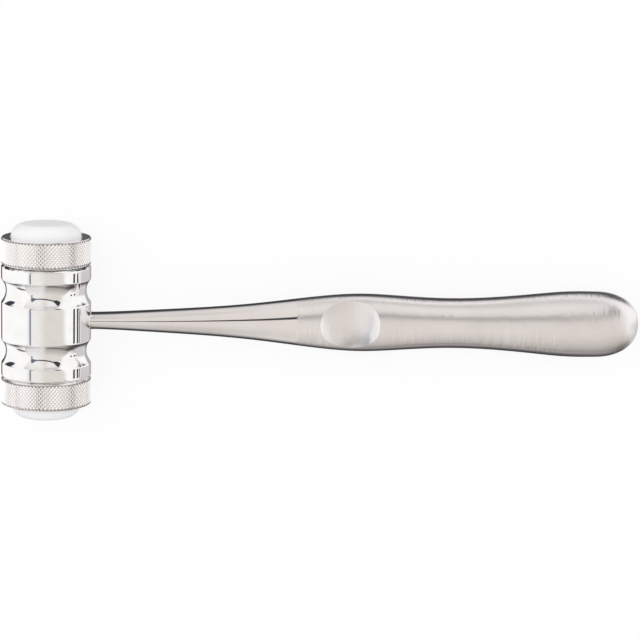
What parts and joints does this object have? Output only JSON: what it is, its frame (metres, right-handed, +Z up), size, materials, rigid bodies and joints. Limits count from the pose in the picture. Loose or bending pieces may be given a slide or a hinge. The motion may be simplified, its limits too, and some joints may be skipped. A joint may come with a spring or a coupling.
{
  "type": "surgical mallet",
  "caption": "Steel surgical mallet with a turned head, screwed-on nylon striking faces held by knurled rings, and a forged handle with thumb rests.",
  "frame": {"origin": "under the middle of the whole mallet, on the surface that it lies on", "axes": "+X along the handle from the head to the butt, +Y along the head's axis towards the upper face, +Z up"},
  "size_m": [0.2398, 0.0732, 0.0334],
  "materials": {
    "polished_steel": "mirror polished stainless steel",
    "satin_steel": "satin stainless steel, polished on the neck and in the thumb rests",
    "knurled_steel": "diamond knurled stainless steel",
    "white_nylon": "turned white nylon, satin"
  },
  "bodies": {
    "head": {"head_body": "polished_steel", "handle": "satin_steel"},
    "upper_face": {"upper_face": "white_nylon"},
    "upper_ring": {"upper_ring": "knurled_steel"},
    "lower_face": {"lower_face": "white_nylon"},
    "lower_ring": {"lower_ring": "knurled_steel"}
  },
  "joints": [
    {"name": "upper_face_travel", "type": "slide", "parent": "head", "child": "upper_face", "axis": [0, 1, 0], "range_m": [0, 0.006]},
    {"name": "upper_ring_turn", "type": "hinge", "parent": "upper_face", "child": "upper_ring", "pos_m": [-0.10321, 0.0315, 0.0167], "axis": [0, 1, 0], "range_deg": [0, 1440]},
    {"name": "lower_face_travel", "type": "slide", "parent": "head", "child": "lower_face", "axis": [0, -1, 0], "range_m": [0, 0.006]},
    {"name": "lower_ring_turn", "type": "hinge", "parent": "lower_face", "child": "lower_ring", "pos_m": [-0.10321, -0.0315, 0.0167], "axis": [0, -1, 0], "range_deg": [0, 1440]}
  ],
  "couplings": [
    {"joint": "upper_face_travel", "follows": "upper_ring_turn", "m_per_rad": 0.0002387},
    {"joint": "lower_face_travel", "follows": "lower_ring_turn", "m_per_rad": 0.0002387}
  ]
}
